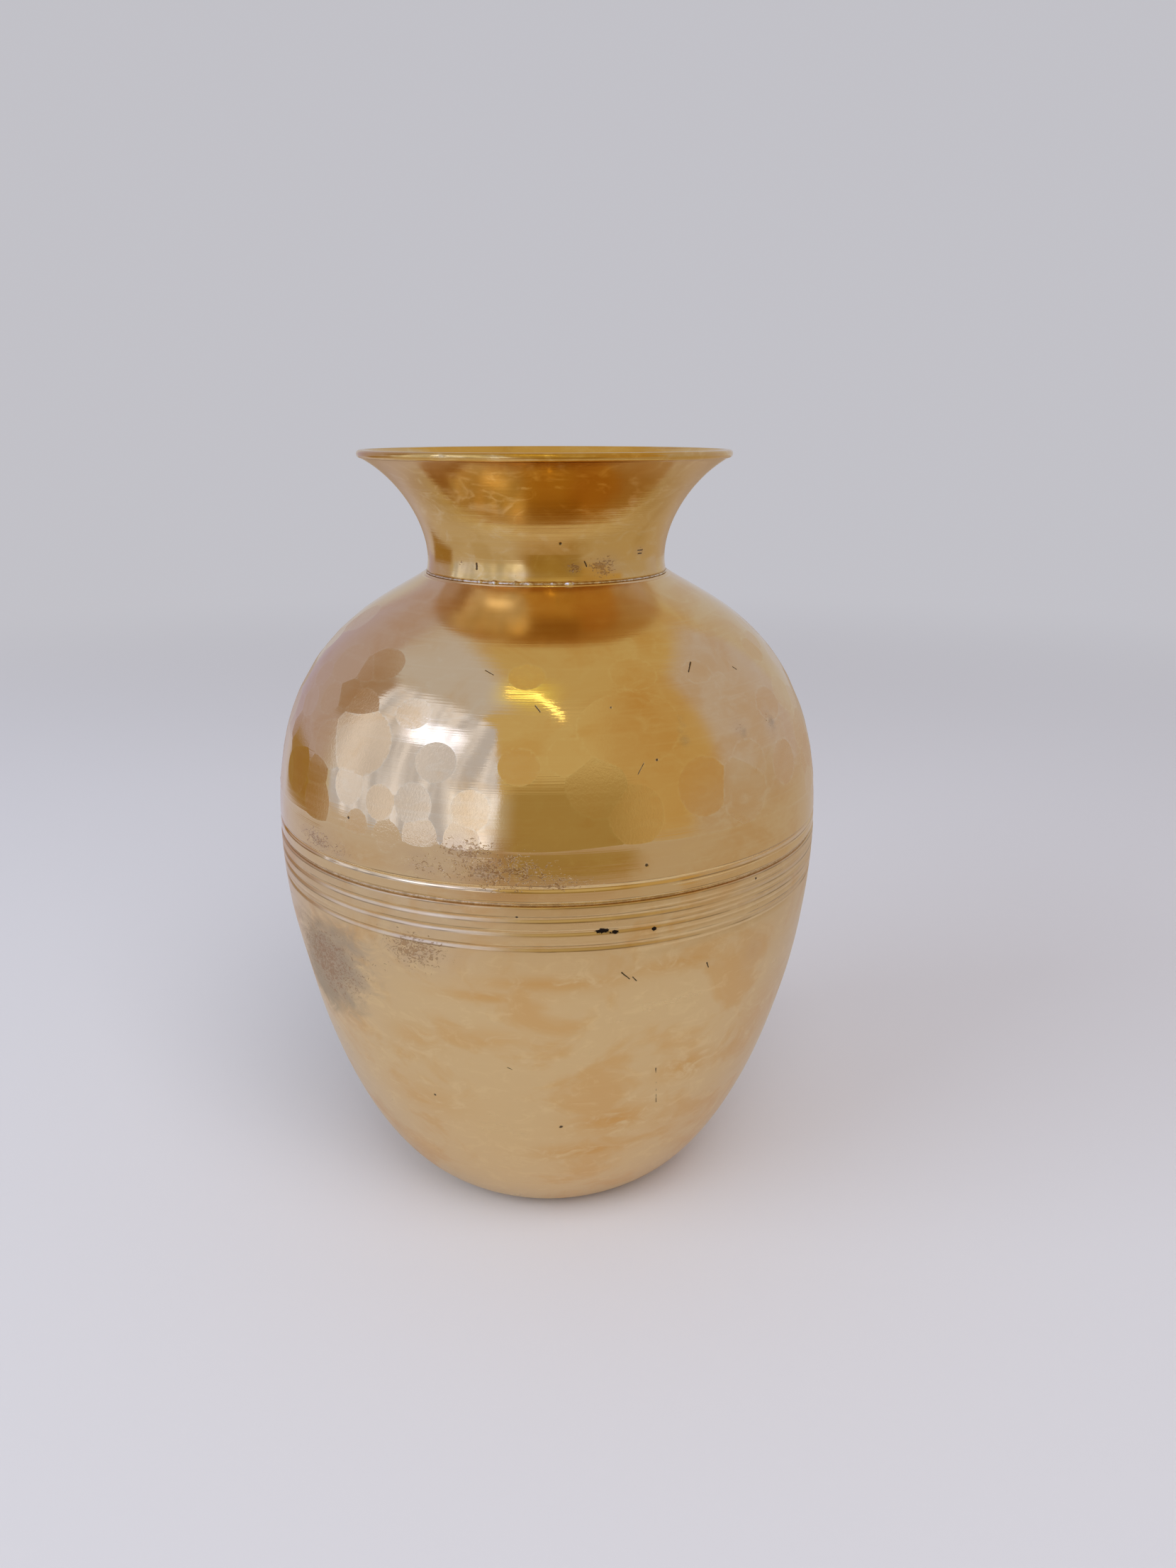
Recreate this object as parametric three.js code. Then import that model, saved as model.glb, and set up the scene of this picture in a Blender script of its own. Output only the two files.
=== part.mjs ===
// Brass kalash pot, in millimetres, standing on the XY plane with its axis along +Z.
//
// The body is raised as two shells, a plain lower bowl and a hammered shoulder, which meet at the
// belly in the second of five turned grooves. A flared collar stands on the shoulder's mouth. A ring
// of braze fills each of the two joins. Every piece is turned about the pot's own axis.
import * as THREE from 'three';

// Driving dimensions.
const HEIGHT = 200;
const BASE_RADIUS = 32;
const BELLY_RADIUS = 73;
const BELLY_HEIGHT = 103.8;
const NECK_RADIUS = 31.5;
const NECK_HEIGHT = 169.7;
const MOUTH_RADIUS = 48;

// Sheet and casting thicknesses.
const BODY_WALL = 1.6;
const COLLAR_WALL = 2;
const LIP_HEIGHT = 2;
const LIP_LAND = 1.2;

// The turned band: five grooves, the second of which is the join between the shells.
const GROOVE_WIDTH = 0.9;
const GROOVE_DEPTH = 0.3;
const UPPER_GROOVES = [BELLY_HEIGHT + 3.8];
const LOWER_GROOVES = [BELLY_HEIGHT - 10.7, BELLY_HEIGHT - 6.7, BELLY_HEIGHT - 3.5];
const BAND_BOTTOM = BELLY_HEIGHT - 13;
const BAND_TOP = BELLY_HEIGHT + 7;

// The joins.
const JOIN_BOTTOM = BELLY_HEIGHT - GROOVE_WIDTH / 2;
const JOIN_TOP = BELLY_HEIGHT + GROOVE_WIDTH / 2;
const BELLY_BEAD = 0.5;
const NECK_JOIN = 0.5;
const NECK_LEDGE = 0.7;
const NECK_RECESS = 0.5;

// Fineness of the turned surfaces.
const TURN_SEGMENTS = 64;
const SHELL_DIVISIONS = 13;
const COLLAR_DIVISIONS = 9;
const LIP_DIVISIONS = 4;

const point = (radius, height) => new THREE.Vector2(radius, height);

// Outline of the lower bowl: nearly flat where it leaves the base, upright at the belly.
const bowlCurve = new THREE.CubicBezierCurve(
  point(BASE_RADIUS, 0),
  point(BASE_RADIUS + 20, 2.5),
  point(BELLY_RADIUS, JOIN_BOTTOM - 44),
  point(BELLY_RADIUS, JOIN_BOTTOM),
);

// Outline of the shoulder: upright at the belly, closing in to the ledge under the collar.
const shoulderCurve = new THREE.CubicBezierCurve(
  point(BELLY_RADIUS, JOIN_TOP),
  point(BELLY_RADIUS, JOIN_TOP + 48.5),
  point(NECK_RADIUS + 12.7, NECK_HEIGHT - 8.3),
  point(NECK_RADIUS + NECK_LEDGE, NECK_HEIGHT - NECK_JOIN),
);

// Outline of the collar: drawn in just above its foot, then flaring out to the lip.
const collarCurve = new THREE.CubicBezierCurve(
  point(NECK_RADIUS, NECK_HEIGHT),
  point(NECK_RADIUS - 2.3, NECK_HEIGHT + 9.3),
  point(MOUTH_RADIUS - 11.2, HEIGHT - 7.5),
  point(MOUTH_RADIUS - LIP_HEIGHT / 2, HEIGHT - LIP_HEIGHT),
);

// The same outline inside the pot, one wall thickness away, from its top down, without its ends.
function innerPoints(curve, divisions, wall) {
  const points = [];
  for (let step = divisions - 1; step > 0; step -= 1) {
    const t = step / divisions;
    const along = curve.getTangent(t);
    const outside = curve.getPoint(t);
    points.push(point(outside.x - wall * along.y, outside.y + wall * along.x));
  }
  return points;
}

// Radius of an outline that rises all the way, at a given height.
function radiusAt(curve, height) {
  let low = 0;
  let high = 1;
  for (let step = 0; step < 40; step += 1) {
    const middle = (low + high) / 2;
    if (curve.getPoint(middle).y < height) low = middle;
    else high = middle;
  }
  return curve.getPoint(low).x;
}

// A V-shaped groove turned into an outline.
function groovePoints(curve, height) {
  return [
    point(radiusAt(curve, height - GROOVE_WIDTH / 2), height - GROOVE_WIDTH / 2),
    point(radiusAt(curve, height) - GROOVE_DEPTH, height),
    point(radiusAt(curve, height + GROOVE_WIDTH / 2), height + GROOVE_WIDTH / 2),
  ];
}

// A piece turned about the pot's axis from an outline that runs up its outside.
function turned(name, outline, material) {
  const geometry = new THREE.LatheGeometry(outline, TURN_SEGMENTS);
  geometry.rotateX(Math.PI / 2);
  const mesh = new THREE.Mesh(geometry, material);
  mesh.name = name;
  return mesh;
}

function brass(color, roughness) {
  return new THREE.MeshStandardMaterial({ color, roughness, metalness: 1 });
}

// Lower half of the body, with a flat base and three of the grooves.
function lowerBowl() {
  const plain = bowlCurve.getPoints(SHELL_DIVISIONS).filter((p) => p.y < BAND_BOTTOM);
  const grooves = LOWER_GROOVES.flatMap((height) => groovePoints(bowlCurve, height));
  const edge = [point(BELLY_RADIUS, JOIN_BOTTOM), point(BELLY_RADIUS - BODY_WALL, JOIN_BOTTOM)];
  const inside = innerPoints(bowlCurve, SHELL_DIVISIONS, BODY_WALL);
  const floor = [point(BASE_RADIUS, BODY_WALL), point(0, BODY_WALL)];
  const outline = [point(0, 0), ...plain, ...grooves, ...edge, ...inside, ...floor];
  return turned('lower_bowl', outline, brass(0xc29b5e, 0.38));
}

// Upper half of the body, with one groove and the ledge that the collar stands on.
function shoulderShell() {
  const grooves = UPPER_GROOVES.flatMap((height) => groovePoints(shoulderCurve, height));
  const plain = shoulderCurve.getPoints(SHELL_DIVISIONS).filter((p) => p.y > BAND_TOP);
  const edge = [point(BELLY_RADIUS - BODY_WALL, JOIN_TOP), point(BELLY_RADIUS, JOIN_TOP)];
  const inside = innerPoints(shoulderCurve, SHELL_DIVISIONS, BODY_WALL);
  const mouth = point(NECK_RADIUS - COLLAR_WALL, NECK_HEIGHT - NECK_JOIN);
  const outline = [edge[1], ...grooves, ...plain, mouth, ...inside, ...edge];
  return turned('shoulder_shell', outline, brass(0xb08440, 0.26));
}

// Flared collar with a rounded lip and a narrow flat land on top.
function collar() {
  const outside = collarCurve.getPoints(COLLAR_DIVISIONS);
  const lip = [];
  for (let step = 1; step <= LIP_DIVISIONS; step += 1) {
    const angle = -Math.PI / 2 + (Math.PI * step) / LIP_DIVISIONS;
    const radius = LIP_HEIGHT / 2;
    lip.push(point(
      MOUTH_RADIUS - radius + radius * Math.cos(angle),
      HEIGHT - radius + radius * Math.sin(angle),
    ));
  }
  const land = point(MOUTH_RADIUS - LIP_HEIGHT / 2 - LIP_LAND, HEIGHT);
  const inside = innerPoints(collarCurve, COLLAR_DIVISIONS, COLLAR_WALL);
  const foot = point(NECK_RADIUS - COLLAR_WALL, NECK_HEIGHT);
  const outline = [...outside, ...lip, land, ...inside, foot, outside[0]];
  return turned('collar', outline, brass(0xb4883c, 0.2));
}

// Braze between the two shells: it lies at the bottom of the second groove and beads inwards.
function bellyBraze() {
  const outer = BELLY_RADIUS - GROOVE_DEPTH;
  const inner = BELLY_RADIUS - BODY_WALL;
  const outline = [
    point(outer, JOIN_BOTTOM),
    point(outer, JOIN_TOP),
    point(inner, JOIN_TOP),
    point(inner - BELLY_BEAD, BELLY_HEIGHT),
    point(inner, JOIN_BOTTOM),
    point(outer, JOIN_BOTTOM),
  ];
  return turned('belly_braze', outline, brass(0xa88a58, 0.45));
}

// Braze between the shoulder and the collar's foot, a little way back from the outside.
function neckBraze() {
  const outer = NECK_RADIUS - NECK_RECESS;
  const inner = NECK_RADIUS - COLLAR_WALL + NECK_RECESS;
  const bottom = NECK_HEIGHT - NECK_JOIN;
  const outline = [
    point(outer, bottom),
    point(outer, NECK_HEIGHT),
    point(inner, NECK_HEIGHT),
    point(inner, bottom),
    point(outer, bottom),
  ];
  return turned('neck_braze', outline, brass(0xb9ad96, 0.4));
}

const pot = new THREE.Group();
pot.add(lowerBowl(), bellyBraze(), shoulderShell(), neckBraze(), collar());

export default pot;
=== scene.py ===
"""Brass kalash pot: the finished surface of each turned piece, with its studio.

Lengths are in millimetres until a mesh is made from them. A bearing is an angle round the pot in
degrees: 0 faces -Y and 90 faces +X. Every mark is placed by its bearing and its height. Lists of
marks give bearing, height, half angle, half height and strength unless they say otherwise.
"""
import math
import random

import bpy
import numpy as np
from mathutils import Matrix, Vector


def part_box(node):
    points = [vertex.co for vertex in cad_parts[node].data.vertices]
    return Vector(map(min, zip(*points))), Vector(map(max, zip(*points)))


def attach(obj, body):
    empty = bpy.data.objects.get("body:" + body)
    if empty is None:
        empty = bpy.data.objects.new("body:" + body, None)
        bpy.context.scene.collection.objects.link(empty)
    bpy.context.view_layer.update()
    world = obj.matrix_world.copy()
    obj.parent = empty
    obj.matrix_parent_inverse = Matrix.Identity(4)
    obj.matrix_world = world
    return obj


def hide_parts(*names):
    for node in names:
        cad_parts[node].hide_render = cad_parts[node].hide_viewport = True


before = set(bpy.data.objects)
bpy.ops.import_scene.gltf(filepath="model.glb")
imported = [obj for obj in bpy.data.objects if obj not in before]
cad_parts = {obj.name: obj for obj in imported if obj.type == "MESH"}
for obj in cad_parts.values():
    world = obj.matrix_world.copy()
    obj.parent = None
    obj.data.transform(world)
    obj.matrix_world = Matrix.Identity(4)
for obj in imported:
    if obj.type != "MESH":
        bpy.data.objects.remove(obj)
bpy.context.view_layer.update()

MM = 0.001


def extent(node):
    """A node's outer radius, bottom and top."""
    low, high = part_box(node)
    return high[0] / MM, low[2] / MM, high[2] / MM


# Driving dimensions, read from the frame, and the walls that it was drawn with.
BELLY_RADIUS, BASE_HEIGHT, BOWL_TOP = extent("lower_bowl")
_, SHOULDER_BOTTOM, SHOULDER_TOP = extent("shoulder_shell")
MOUTH_RADIUS, COLLAR_BOTTOM, RIM_HEIGHT = extent("collar")
BRAZE_INSET = 0.5
NECK_RADIUS = extent("neck_braze")[0] + BRAZE_INSET
BASE_RADIUS = 32.0
BODY_WALL = 1.6
COLLAR_WALL = 2.0
LIP_HEIGHT = 2.0
LIP_LAND = 1.2
NECK_LEDGE = 0.7
BELLY_HEIGHT = (BOWL_TOP + SHOULDER_BOTTOM) / 2


def curve_points(start, leave, arrive, end, count=400):
    """Points on a cubic curve, as rows of radius and height."""
    t = np.linspace(0, 1, count)[:, None]
    start, leave, arrive, end = (np.array(p, float) for p in (start, leave, arrive, end))
    near = (1 - t) ** 3 * start + 3 * (1 - t) ** 2 * t * leave
    return near + 3 * (1 - t) * t**2 * arrive + t**3 * end


class Outline:
    """A curve up the outside of the pot, read by the distance along it."""

    def __init__(self, points):
        self.points = points
        steps = np.linalg.norm(np.diff(points, axis=0), axis=1)
        self.distances = np.concatenate([[0], np.cumsum(steps)])
        self.length = self.distances[-1]
        along = np.gradient(points, self.distances, axis=0)
        along /= np.linalg.norm(along, axis=1)[:, None]
        self.normals = np.column_stack([along[:, 1], -along[:, 0]])

    def at(self, distance):
        """Radius and height at a distance."""
        return [np.interp(distance, self.distances, self.points[:, k]) for k in (0, 1)]

    def outward(self, distance):
        """The outward direction at a distance, as its radial and upward shares."""
        return [np.interp(distance, self.distances, self.normals[:, k]) for k in (0, 1)]

    def distance_at(self, height):
        return np.interp(height, self.points[:, 1], self.distances)

    def offset(self, distance, depth):
        """Radius and height of the point that lies deeper than the outline by a depth."""
        radius, height = self.at(distance)
        out_radius, out_height = self.outward(distance)
        return radius - depth * out_radius, height - depth * out_height


bowl_outline = Outline(curve_points(
    (BASE_RADIUS, BASE_HEIGHT),
    (BASE_RADIUS + 20, BASE_HEIGHT + 2.5),
    (BELLY_RADIUS, BOWL_TOP - 44),
    (BELLY_RADIUS, BOWL_TOP),
))
shoulder_outline = Outline(curve_points(
    (BELLY_RADIUS, SHOULDER_BOTTOM),
    (BELLY_RADIUS, SHOULDER_BOTTOM + 48.5),
    (NECK_RADIUS + 12.7, SHOULDER_TOP - 7.8),
    (NECK_RADIUS + NECK_LEDGE, SHOULDER_TOP),
))
collar_outline = Outline(curve_points(
    (NECK_RADIUS, COLLAR_BOTTOM),
    (NECK_RADIUS - 2.3, COLLAR_BOTTOM + 9.3),
    (MOUTH_RADIUS - 11.2, RIM_HEIGHT - 7.5),
    (MOUTH_RADIUS - LIP_HEIGHT / 2, RIM_HEIGHT - LIP_HEIGHT),
))


# ---------------------------------------------------------------- turned meshes

def wave(bearings, distances, seed, turns, length, terms=9):
    """A smooth random surface between about -1 and 1 that closes round the pot."""
    chance = random.Random(seed)
    total = np.zeros(np.broadcast(bearings, distances).shape)
    for _ in range(terms):
        around = chance.randint(-turns, turns)
        along = chance.uniform(-1, 1) * 2 * math.pi / length
        phase = chance.uniform(0, 2 * math.pi)
        total = total + np.cos(np.radians(bearings) * around + along * distances + phase)
    return total / math.sqrt(terms)


def bump_at(bearings, heights, bearing, height, half_angle, half_height):
    """A soft round bump of height 1 on the surface, as a share at each point."""
    turn = (bearings - bearing + 180) % 360 - 180
    return np.exp(-((turn / half_angle) ** 2) - ((heights - height) / half_height) ** 2)


class TurnedMesh:
    """Rings of points round the axis, joined into one closed skin from the bottom up the outside."""

    def __init__(self, columns):
        self.columns = columns
        self.bearings = np.arange(columns) * 360 / columns
        self.points = []
        self.faces = []
        self.marks = []
        self.ridge_points = []

    def add_point(self, bearing, radius, height):
        turn = math.radians(bearing)
        self.points.append((radius * math.sin(turn), -radius * math.cos(turn), height))
        return len(self.points) - 1

    def ring(self, radius, height):
        """One ring, whose radius and height may vary round the pot. Gives its first index."""
        first = len(self.points)
        radius, height = np.broadcast_arrays(radius, height, np.zeros(self.columns))[:2]
        turn = np.radians(self.bearings)
        x, y = radius * np.sin(turn), -radius * np.cos(turn)
        self.points.extend(zip(x.tolist(), y.tolist(), height.tolist()))
        return first

    def add_face(self, corners, mark=0):
        self.faces.append(corners)
        self.marks.append(mark)

    def band(self, low, high):
        """Four-sided faces between two rings."""
        for column in range(self.columns):
            after = (column + 1) % self.columns
            self.add_face((low + column, low + after, high + after, high + column))

    def skin(self, rings):
        for low, high in zip(rings, rings[1:]):
            self.band(low, high)

    def fan(self, ring, height, leads_out):
        """A disc of triangles from the axis to a ring, before it or after it in the skin."""
        middle = self.add_point(0, 0, height)
        for column in range(self.columns):
            pair = (ring + column, ring + (column + 1) % self.columns)
            self.add_face((middle, *reversed(pair)) if leads_out else (middle, *pair))

    def make(self, name, masks=()):
        """The Blender object, smooth but for the edges between different marks."""
        mesh = bpy.data.meshes.new(name)
        points = np.array(self.points)
        mesh.from_pydata((points * MM).tolist(), [], self.faces)
        mesh.shade_smooth()
        self.sharpen(mesh)
        # The ridge layer is 1 on the points along the edges between marks, where the material paints
        # a highlight.
        on_ridge = np.zeros(len(points))
        on_ridge[self.ridge_points] = 1
        self.add_layer(mesh, "ridge", on_ridge)
        bearings = np.degrees(np.arctan2(points[:, 0], -points[:, 1]))
        for title, spots in masks:
            share = np.zeros(len(points))
            for bearing, height, half_angle, half_height, strength in spots:
                spot = bump_at(bearings, points[:, 2], bearing, height, half_angle, half_height)
                share = np.maximum(share, spot * strength)
            self.add_layer(mesh, title, share)
        piece = bpy.data.objects.new(name, mesh)
        bpy.context.scene.collection.objects.link(piece)
        return piece

    def add_layer(self, mesh, title, values, domain="POINT"):
        """Numbers that the materials read, one for each point or face."""
        layer = mesh.attributes.new(title, "FLOAT", domain)
        layer.data.foreach_set("value", values.astype(np.float32))

    def sharpen(self, mesh):
        """Marks the edges between faces of different marks as sharp, and keeps the marks."""
        marks = np.array(self.marks)
        counts = np.zeros(len(mesh.polygons), int)
        mesh.polygons.foreach_get("loop_total", counts)
        edges = np.zeros(len(mesh.loops), int)
        mesh.loops.foreach_get("edge_index", edges)
        by_loop = np.repeat(marks, counts)
        low = np.full(len(mesh.edges), marks.max() + 1)
        high = np.full(len(mesh.edges), -1)
        np.minimum.at(low, edges, by_loop)
        np.maximum.at(high, edges, by_loop)
        sharp = mesh.attributes.new("sharp_edge", "BOOLEAN", "EDGE")
        sharp.data.foreach_set("value", low != high)
        chance = np.random.default_rng(4)
        tone = np.where(marks > 1, chance.uniform(0.35, 1, marks.max() + 1)[marks], 0)
        self.add_layer(mesh, "strike", tone, "FACE")


def finish_piece(piece, node, material):
    """Rides a piece on the pot's only body in place of its CAD node."""
    piece.data.materials.append(material)
    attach(piece, "root")
    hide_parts(node)
    return piece


# ---------------------------------------------------------------- the turned band

GROOVE_HALF = 0.8
GROOVE_DEPTH = 0.36
GROOVE_DRIFT = 0.12
BAND_CUT = 0.11
GROOVE_FADE, FADE_BEARING, FADE_HALF_ANGLE = 0.55, 28, 12
FINE_LINE_HALF = 0.3


def groove(bearings, heights, height, depth, sway=GROOVE_DRIFT):
    """A round-bottomed groove that wanders a little in height and fades on the pot's right."""
    drift = sway * np.sin(np.radians(bearings * 2 + height * 40))
    across = np.clip(np.abs(heights - height - drift) / GROOVE_HALF, 0, 1)
    fade = 1 - GROOVE_FADE * np.exp(-(((bearings - FADE_BEARING) / FADE_HALF_ANGLE) ** 2))
    return -depth * fade * np.cos(across * math.pi / 2) ** 2


def fine_line(bearings, heights, height, start, end, depth):
    """A thin turned line over part of the way round."""
    turn = (bearings - start) % 360
    run = (end - start) % 360
    inside = np.clip(np.minimum(turn, run - turn) / 8, 0, 1)
    slant = 0.5 * (turn / run - 0.5)
    return -depth * inside * np.exp(-(((heights - height - slant) / FINE_LINE_HALF) ** 2))


# Thin turned lines, as height, first and last bearing, and depth.
FINE_LINES = (
    (106.2, 18, 75, 0.10), (101.6, 12, 80, 0.12), (98.6, 20, 85, 0.10),
    (95.2, 15, 70, 0.10), (91.5, 12, 60, 0.12), (105.2, 150, 290, 0.10),
    (99.0, 110, 230, 0.12), (94.6, 200, 320, 0.10), (91.3, 120, 260, 0.10),
)


def band_depth(bearings, heights, grooves):
    """The turned band: the groove at the join, the other grooves and the thin lines."""
    depth = groove(bearings, heights, BELLY_HEIGHT, GROOVE_DEPTH, sway=0)
    for height in grooves:
        depth = depth + groove(bearings, heights, height, GROOVE_DEPTH)
    for height, start, end, cut in FINE_LINES:
        depth = depth + fine_line(bearings, heights, height, start, end, cut)
    return depth


# ---------------------------------------------------------------- lower bowl

LOWER_GROOVES = (BELLY_HEIGHT - 10.7, BELLY_HEIGHT - 6.7, BELLY_HEIGHT - 3.5)
BAND_DEPTH_BELOW = 14
# Dents, as bearing, height, half angle, half height and depth.
BOWL_DENTS = ((-78, 66, 13, 11, 0.5), (128, 48, 16, 12, 0.3))


def bowl_depth(bearings, distances):
    """How far the bowl stands out from its outline: planished, dented and grooved."""
    _, heights = bowl_outline.at(distances)
    depth = 0.05 * wave(bearings, distances, 11, 9, 26)
    depth = depth + 0.12 * wave(bearings, distances, 12, 3, 90)
    for *dent, sunk in BOWL_DENTS:
        depth = depth - sunk * bump_at(bearings, heights, *dent)
    depth = depth * np.clip((BELLY_HEIGHT - BAND_DEPTH_BELOW - heights) / 12, 0, 1)
    return depth * np.clip(distances / 6, 0, 1) + band_depth(bearings, heights, LOWER_GROOVES)


def row_distances(outline, fine_low, fine_high, fine_step, coarse_step):
    """Distances along an outline, closer together between two heights."""
    low, high = outline.distance_at(fine_low), outline.distance_at(fine_high)
    parts = []
    for start, end, step in ((0, low, coarse_step), (low, high, fine_step),
                             (high, outline.length, coarse_step)):
        if end - start > 1e-6:
            parts.append(np.linspace(start, end, max(2, math.ceil((end - start) / step) + 1)))
    return np.unique(np.concatenate(parts).round(6))


BOWL_STAINS = (
    (14, 41, 9, 5, 1.0), (30, 54, 7, 4, 0.9), (9, 30, 12, 3, 1.0), (27, 38, 5, 6, 0.4),
    (-12, 80, 9, 1.4, 0.9), (-13, 68, 9, 3, 0.5), (-28, 65, 6, 4, 0.5), (44, 82, 2, 5, 0.7),
    (0, 84, 14, 2, 0.8), (26, 86, 12, 2, 0.8), (-30, 45, 10, 5, 0.4), (52, 60, 8, 8, 0.5),
    (95, 50, 16, 9, 0.7), (130, 72, 12, 6, 0.8), (165, 40, 18, 6, 0.6), (-160, 78, 14, 5, 0.7),
    (-130, 52, 15, 10, 0.6), (-100, 34, 12, 6, 0.5), (70, 25, 18, 4, 0.6), (-60, 22, 20, 4, 0.5),
)
BOWL_TARNISH = (
    (-51, 79, 14, 11, 1.0), (-57, 70, 13, 10, 0.95), (-46, 86, 12, 6, 0.7), (-47, 70, 8, 8, 0.7),
    (-27, 89, 8, 5, 0.28), (120, 84, 8, 7, 0.6), (-150, 60, 9, 6, 0.5),
)
BOWL_PITTING = (
    (-52, 78, 16, 13, 1.0), (-26, 90, 9, 6, 1.0), (-36, 84, 8, 5, 0.5), (44, 82, 3, 5, 0.5),
    (120, 84, 10, 8, 0.7), (-150, 60, 10, 8, 0.6),
)
BOWL_SOOT = ((9.3, 97.2, 1.4, 0.7, 1.0), (11.3, 96.5, 0.9, 0.6, 1.0), (19.1, 96.1, 0.7, 0.6, 1.0))


def make_bowl(material):
    """Plain lower half of the body, thick and closed, standing on its flat base."""
    mesh = TurnedMesh(400)
    rows = row_distances(bowl_outline, BELLY_HEIGHT - 12.5, BOWL_TOP, 0.2, 1.2)
    rings = [mesh.ring(radius, BASE_HEIGHT) for radius in (6, 14, 22, 28, 31)]
    for distance in rows:
        radius, height = bowl_outline.offset(distance, -bowl_depth(mesh.bearings, distance))
        rings.append(mesh.ring(radius, height))
    for distance in np.linspace(bowl_outline.length, 0, 40):
        radius, height = bowl_outline.offset(distance, BODY_WALL)
        rings.append(mesh.ring(radius, max(height, BODY_WALL)))
    rings += [mesh.ring(radius, BODY_WALL) for radius in (24, 14, 5)]
    mesh.skin(rings)
    mesh.fan(rings[0], BASE_HEIGHT, leads_out=True)
    mesh.fan(rings[-1], BODY_WALL, leads_out=False)
    masks = (("stain_and_painted_reflection", BOWL_STAINS), ("tarnish", BOWL_TARNISH),
             ("pitting", BOWL_PITTING), ("soot", BOWL_SOOT))
    return finish_piece(mesh.make("planished_bowl", masks), "lower_bowl", material)


# ---------------------------------------------------------------- hammered shoulder

BASE_MARK, BAND_MARK, FIRST_STRIKE = 0, 1, 2
BAND_EDGE = 115.6
UPPER_GROOVES = (BELLY_HEIGHT + 3.8,)


class Strike:
    """One blow of the planishing hammer: a nearly flat face pressed into the shoulder."""

    def __init__(self, bearing, height, depth, tilt_right=0.0, tilt_up=0.0, dome=600.0):
        self.bearing = bearing
        self.dome = dome
        self.distance = float(shoulder_outline.distance_at(height))
        turn = math.radians(bearing)
        radius, height = shoulder_outline.at(self.distance)
        out_radius, out_height = shoulder_outline.outward(self.distance)
        outward = np.array([out_radius * math.sin(turn), -out_radius * math.cos(turn), out_height])
        rightward = np.array([math.cos(turn), math.sin(turn), 0])
        upward = np.cross(outward, -rightward)
        centre = np.array([radius * math.sin(turn), -radius * math.cos(turn), height])
        self.face = outward + math.radians(tilt_right) * rightward + math.radians(tilt_up) * upward
        self.face /= np.linalg.norm(self.face)
        self.centre = centre - depth * outward

    def depth(self, bearing, distance):
        """How far the struck face stands out from the outline, negative where it is pressed in."""
        turn = np.radians(bearing)
        radius, height = shoulder_outline.at(distance)
        away_x = radius * np.sin(turn) - self.centre[0]
        away_y = -radius * np.cos(turn) - self.centre[1]
        away_z = height - self.centre[2]
        above = away_x * self.face[0] + away_y * self.face[1] + away_z * self.face[2]
        across = away_x**2 + away_y**2 + away_z**2 - above**2
        return -(above + across / (2 * self.dome))


# Blows that stand out on the front, as bearing, height, depth, tilt to the right, tilt upwards
# and, where the face is rounder than usual, the radius of its dome.
FRONT_STRIKES = (
    (-33, 124, 0.13, 0, 0), (-25.5, 125, 0.14, 0, 0), (-14, 125, 0.15, 0, 0),
    (-21.5, 134.5, 0.16, 0, 0), (-5.8, 135, 0.12, 0, 0.8), (-28.5, 144, 0.13, 0, 0, 300),
    (-34.5, 134, 0.15, -3, -1.5, 150), (-41, 126.5, 0.15, 0, 0, 200), (-40, 143.5, 0.13, -2, 0),
    (-50, 134, 0.15, 0.5, 0, 112), (-59, 133, 0.12, -1.5, 0, 140), (-59, 122, 0.14, -1, -2, 200),
    (-49, 118, 0.13, -1, -1, 200), (-51, 151, 0.13, -2, 0, 200), (-37, 152.5, 0.10, -2, 0, 200),
    (-44, 152, 0.09, -1, 1, 300), (-31, 117.5, 0.13, 0, 1), (-24, 118, 0.12, 0, 0),
    (-15.5, 118, 0.11, 0, 0), (-38, 118, 0.12, 0, 0), (-5, 152.3, 0.10, 0, 0),
    (8, 127, 0.15, 0.5, -2, 250), (4, 137, 0.11, 0, 0.8), (24, 140, 0.19, -2.5, -1, 120),
    (20, 152, 0.09, 0, 0, 200), (30, 124, 0.15, 0, -2, 200), (16, 121, 0.13, 0, -1.5, 250),
    (43, 131, 0.13, 0, 0, 150), (40, 120, 0.13, 0, -2.5, 200), (53, 141, 0.13, 1, 0, 200),
    (55, 125, 0.13, 0, -1.5, 200), (37, 151, 0.08, 0, 0, 200),
)
STRIKE_SPACING = 8.6
STRIKE_HEIGHTS = (118.0, 126.0, 134.0, 142.0, 149.5, 156.0)
SHALLOW_FROM_ROW = 4
FRONT_EDGE = 62
PLAIN_FROM, PLAIN_ABOVE = -44.0, 148.0
FRONT_GAP = 7.0


def clear_of(blow, strikes):
    """Whether a blow lands away from the listed ones."""
    placed = strikes[:len(FRONT_STRIKES)]
    return all(np.linalg.norm(blow.centre - other.centre) > FRONT_GAP for other in placed)


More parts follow.
